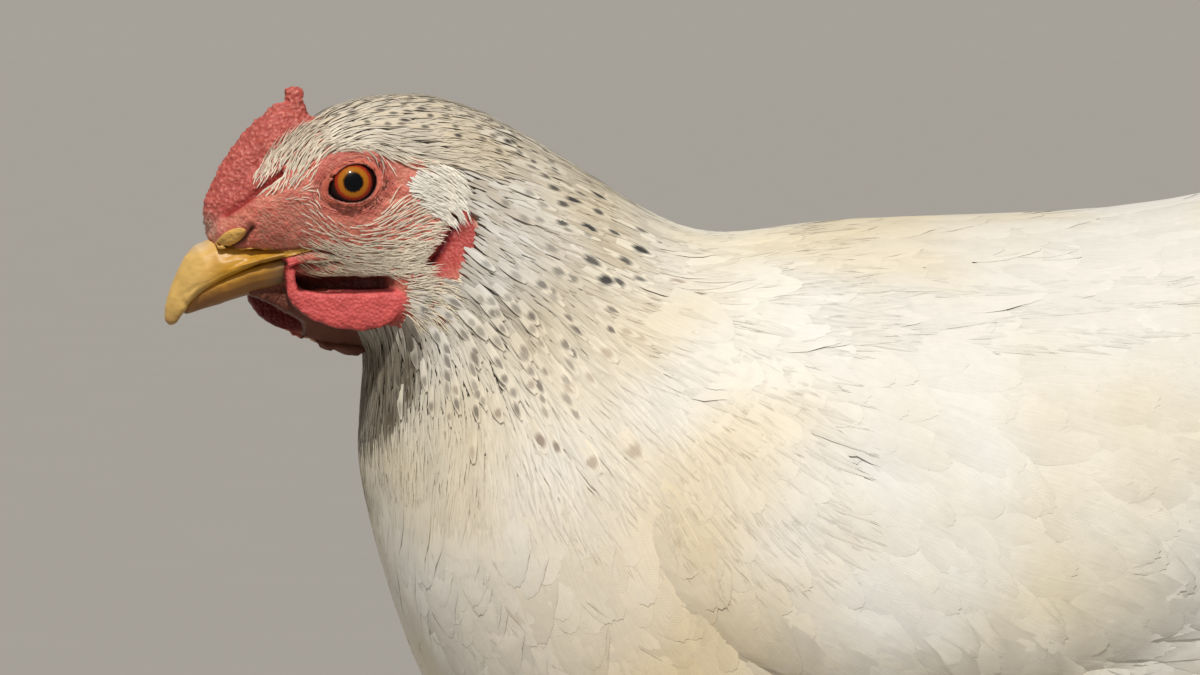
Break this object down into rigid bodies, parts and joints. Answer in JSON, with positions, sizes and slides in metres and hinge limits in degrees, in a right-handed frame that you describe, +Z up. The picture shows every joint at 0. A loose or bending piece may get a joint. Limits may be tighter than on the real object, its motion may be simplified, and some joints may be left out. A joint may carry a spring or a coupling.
{
  "type": "laying hen",
  "caption": "Life-size still model of a white laying hen with dark flecks on her neck, standing with her neck drawn in and her head turned a little.",
  "frame": {"origin": "on the floor, under the middle of the hen's bounding box", "axes": "-Y is the way the hen's body faces, +X is her left, +Z is up"},
  "size_m": [0.1534, 0.3682, 0.3504],
  "materials": {
    "plumage": "soft white to cream feathers",
    "bare_skin": "red bare skin, slightly moist",
    "beak_horn": "smooth yellow horn",
    "eye": "wet amber iris with a black pupil",
    "leg_scale": "yellow scaled skin",
    "claw_horn": "pale horn"
  },
  "bodies": {
    "root": {"head": "plumage", "neck": "plumage", "trunk": "plumage", "tail": "plumage", "wing_left": "plumage", "wing_right": "plumage", "thigh_left": "plumage", "thigh_right": "plumage", "comb": "bare_skin", "wattle_left": "bare_skin", "wattle_right": "bare_skin", "earlobe_left": "bare_skin", "earlobe_right": "bare_skin", "beak_upper": "beak_horn", "beak_lower": "beak_horn", "eye_left": "eye", "eye_right": "eye", "shank_left": "leg_scale", "toe_middle_left": "leg_scale", "claw_middle_left": "claw_horn", "toe_inner_left": "leg_scale", "claw_inner_left": "claw_horn", "toe_outer_left": "leg_scale", "claw_outer_left": "claw_horn", "toe_hind_left": "leg_scale", "claw_hind_left": "claw_horn", "shank_right": "leg_scale", "toe_middle_right": "leg_scale", "claw_middle_right": "claw_horn", "toe_inner_right": "leg_scale", "claw_inner_right": "claw_horn", "toe_outer_right": "leg_scale", "claw_outer_right": "claw_horn", "toe_hind_right": "leg_scale", "claw_hind_right": "claw_horn"}
  },
  "joints": []
}
